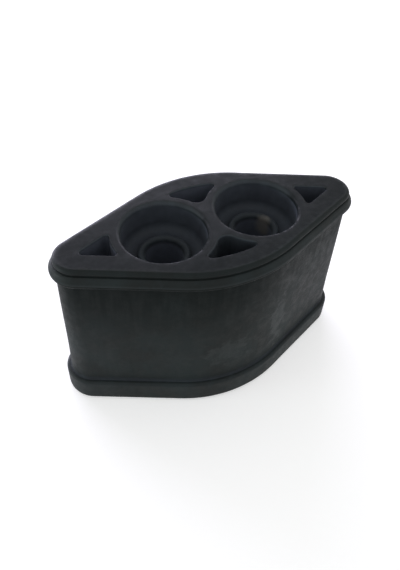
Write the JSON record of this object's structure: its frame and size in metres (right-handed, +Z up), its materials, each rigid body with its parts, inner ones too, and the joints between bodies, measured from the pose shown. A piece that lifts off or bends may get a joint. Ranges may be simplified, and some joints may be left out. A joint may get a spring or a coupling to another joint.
{
  "type": "radiator mount rubber",
  "caption": "Lozenge-shaped rubber block that cushions a radiator, beaded at the top and flanged at the foot, with cups that lead into collared bolt holes and cored pockets round them.",
  "frame": {"origin": "middle of the flat underside", "axes": "+X along the block's length, +Y across it, +Z up out of the cups"},
  "size_m": [0.0738, 0.0362, 0.0437],
  "materials": {
    "rubber": "matte"
  },
  "bodies": {
    "root": {"mount_rubber": "rubber"}
  },
  "joints": []
}
